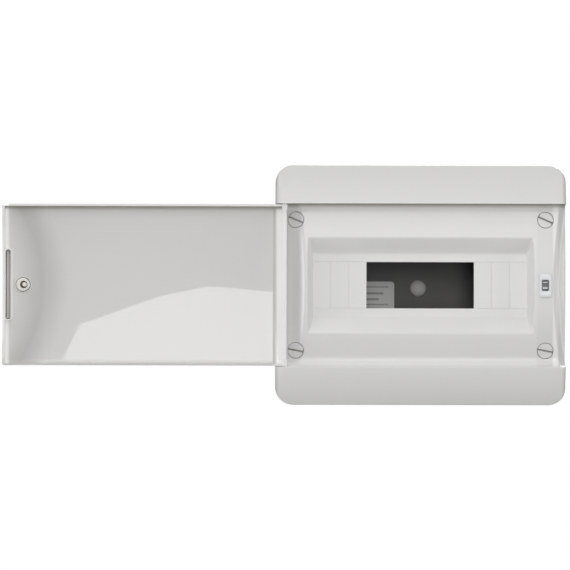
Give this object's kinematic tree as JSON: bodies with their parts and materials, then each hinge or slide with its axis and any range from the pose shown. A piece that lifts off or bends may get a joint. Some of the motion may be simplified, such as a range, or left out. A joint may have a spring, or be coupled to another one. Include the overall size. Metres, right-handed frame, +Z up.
{
  "type": "breaker panel box",
  "caption": "Surface-mounted plastic distribution board enclosure with an arched cover, a breaker window, a side-hinged door swung fully open, and a touch latch.",
  "frame": {"origin": "centre of the back face, on the wall", "axes": "+X right, +Z up, +Y into the wall; the front looks along -Y"},
  "size_m": [0.5632, 0.1041, 0.24],
  "materials": {
    "shell_plastic": "satin white moulding",
    "latch_plastic": "smooth cool white",
    "latch_core": "dark grey-green",
    "label_film": "printed film",
    "neutral_plastic": "blue moulding",
    "earth_plastic": "green moulding",
    "terminal_brass": "machined",
    "screw_steel": "zinc plated"
  },
  "bodies": {
    "case": {"base_tray": "shell_plastic", "front_cover": "shell_plastic", "latch_housing": "latch_plastic", "latch_spring": "screw_steel", "latch_cam_pin": "screw_steel", "rail_bracket_left": "shell_plastic", "rail_bracket_right": "shell_plastic", "rail_bracket_screw_left": "screw_steel", "rail_bracket_screw_right": "screw_steel", "neutral_bar_carrier": "neutral_plastic", "neutral_bar": "terminal_brass", "earth_bar_carrier": "earth_plastic", "earth_bar": "terminal_brass", "rating_label": "label_film", "back_cap": "shell_plastic", "neutral_terminal_screw_1": "screw_steel", "neutral_terminal_screw_2": "screw_steel", "neutral_terminal_screw_3": "screw_steel", "neutral_terminal_screw_4": "screw_steel", "neutral_terminal_screw_5": "screw_steel", "neutral_terminal_screw_6": "screw_steel", "neutral_terminal_screw_7": "screw_steel", "earth_terminal_screw_1": "screw_steel", "earth_terminal_screw_2": "screw_steel", "earth_terminal_screw_3": "screw_steel", "earth_terminal_screw_4": "screw_steel", "earth_terminal_screw_5": "screw_steel", "earth_terminal_screw_6": "screw_steel", "earth_terminal_screw_7": "screw_steel"},
    "door": {"door_panel": "shell_plastic", "hinge_pin_upper": "screw_steel", "hinge_pin_lower": "screw_steel", "striker_base": "latch_plastic", "striker_pin": "latch_plastic"},
    "latch_core": {"latch_slider": "latch_core"},
    "jaw_upper": {"latch_jaw_upper": "latch_plastic"},
    "jaw_lower": {"latch_jaw_lower": "latch_plastic"},
    "cover_screw_top_left": {"cover_screw_top_left": "shell_plastic"},
    "cover_screw_top_right": {"cover_screw_top_right": "shell_plastic"},
    "cover_screw_bottom_left": {"cover_screw_bottom_left": "shell_plastic"},
    "cover_screw_bottom_right": {"cover_screw_bottom_right": "shell_plastic"}
  },
  "joints": [
    {"name": "door_hinge", "type": "hinge", "parent": "case", "child": "door", "pos_m": [-0.1361, -0.088, 0], "axis": [0, 0, 1], "range_deg": [0, 180]},
    {"name": "latch_slide", "type": "slide", "parent": "case", "child": "latch_core", "axis": [0, 1, 0], "range_m": [0, 0.003], "stiffness_N_per_m": 250, "deforming": ["latch_spring"]},
    {"name": "latch_jaw_upper_turn", "type": "hinge", "parent": "latch_core", "child": "jaw_upper", "pos_m": [0.1245, -0.0842, 0.0033], "axis": [1, 0, 0], "range_deg": [0, 12]},
    {"name": "latch_jaw_lower_turn", "type": "hinge", "parent": "latch_core", "child": "jaw_lower", "pos_m": [0.1245, -0.0842, -0.0025], "axis": [1, 0, 0], "range_deg": [-12, 0]},
    {"name": "cover_screw_top_left_turn", "type": "hinge", "parent": "case", "child": "cover_screw_top_left", "pos_m": [-0.125, -0.075, 0.0655], "axis": [0, 1, 0], "range_deg": [0, 90]},
    {"name": "cover_screw_top_right_turn", "type": "hinge", "parent": "case", "child": "cover_screw_top_right", "pos_m": [0.125, -0.075, 0.0655], "axis": [0, 1, 0], "range_deg": [0, 90]},
    {"name": "cover_screw_bottom_left_turn", "type": "hinge", "parent": "case", "child": "cover_screw_bottom_left", "pos_m": [-0.125, -0.075, -0.0655], "axis": [0, 1, 0], "range_deg": [0, 90]},
    {"name": "cover_screw_bottom_right_turn", "type": "hinge", "parent": "case", "child": "cover_screw_bottom_right", "pos_m": [0.125, -0.075, -0.0655], "axis": [0, 1, 0], "range_deg": [0, 90]}
  ],
  "couplings": [
    {"joint": "latch_jaw_upper_turn", "follows": "latch_slide", "rad_per_m": 66.904},
    {"joint": "latch_jaw_lower_turn", "follows": "latch_slide", "rad_per_m": -66.904}
  ]
}
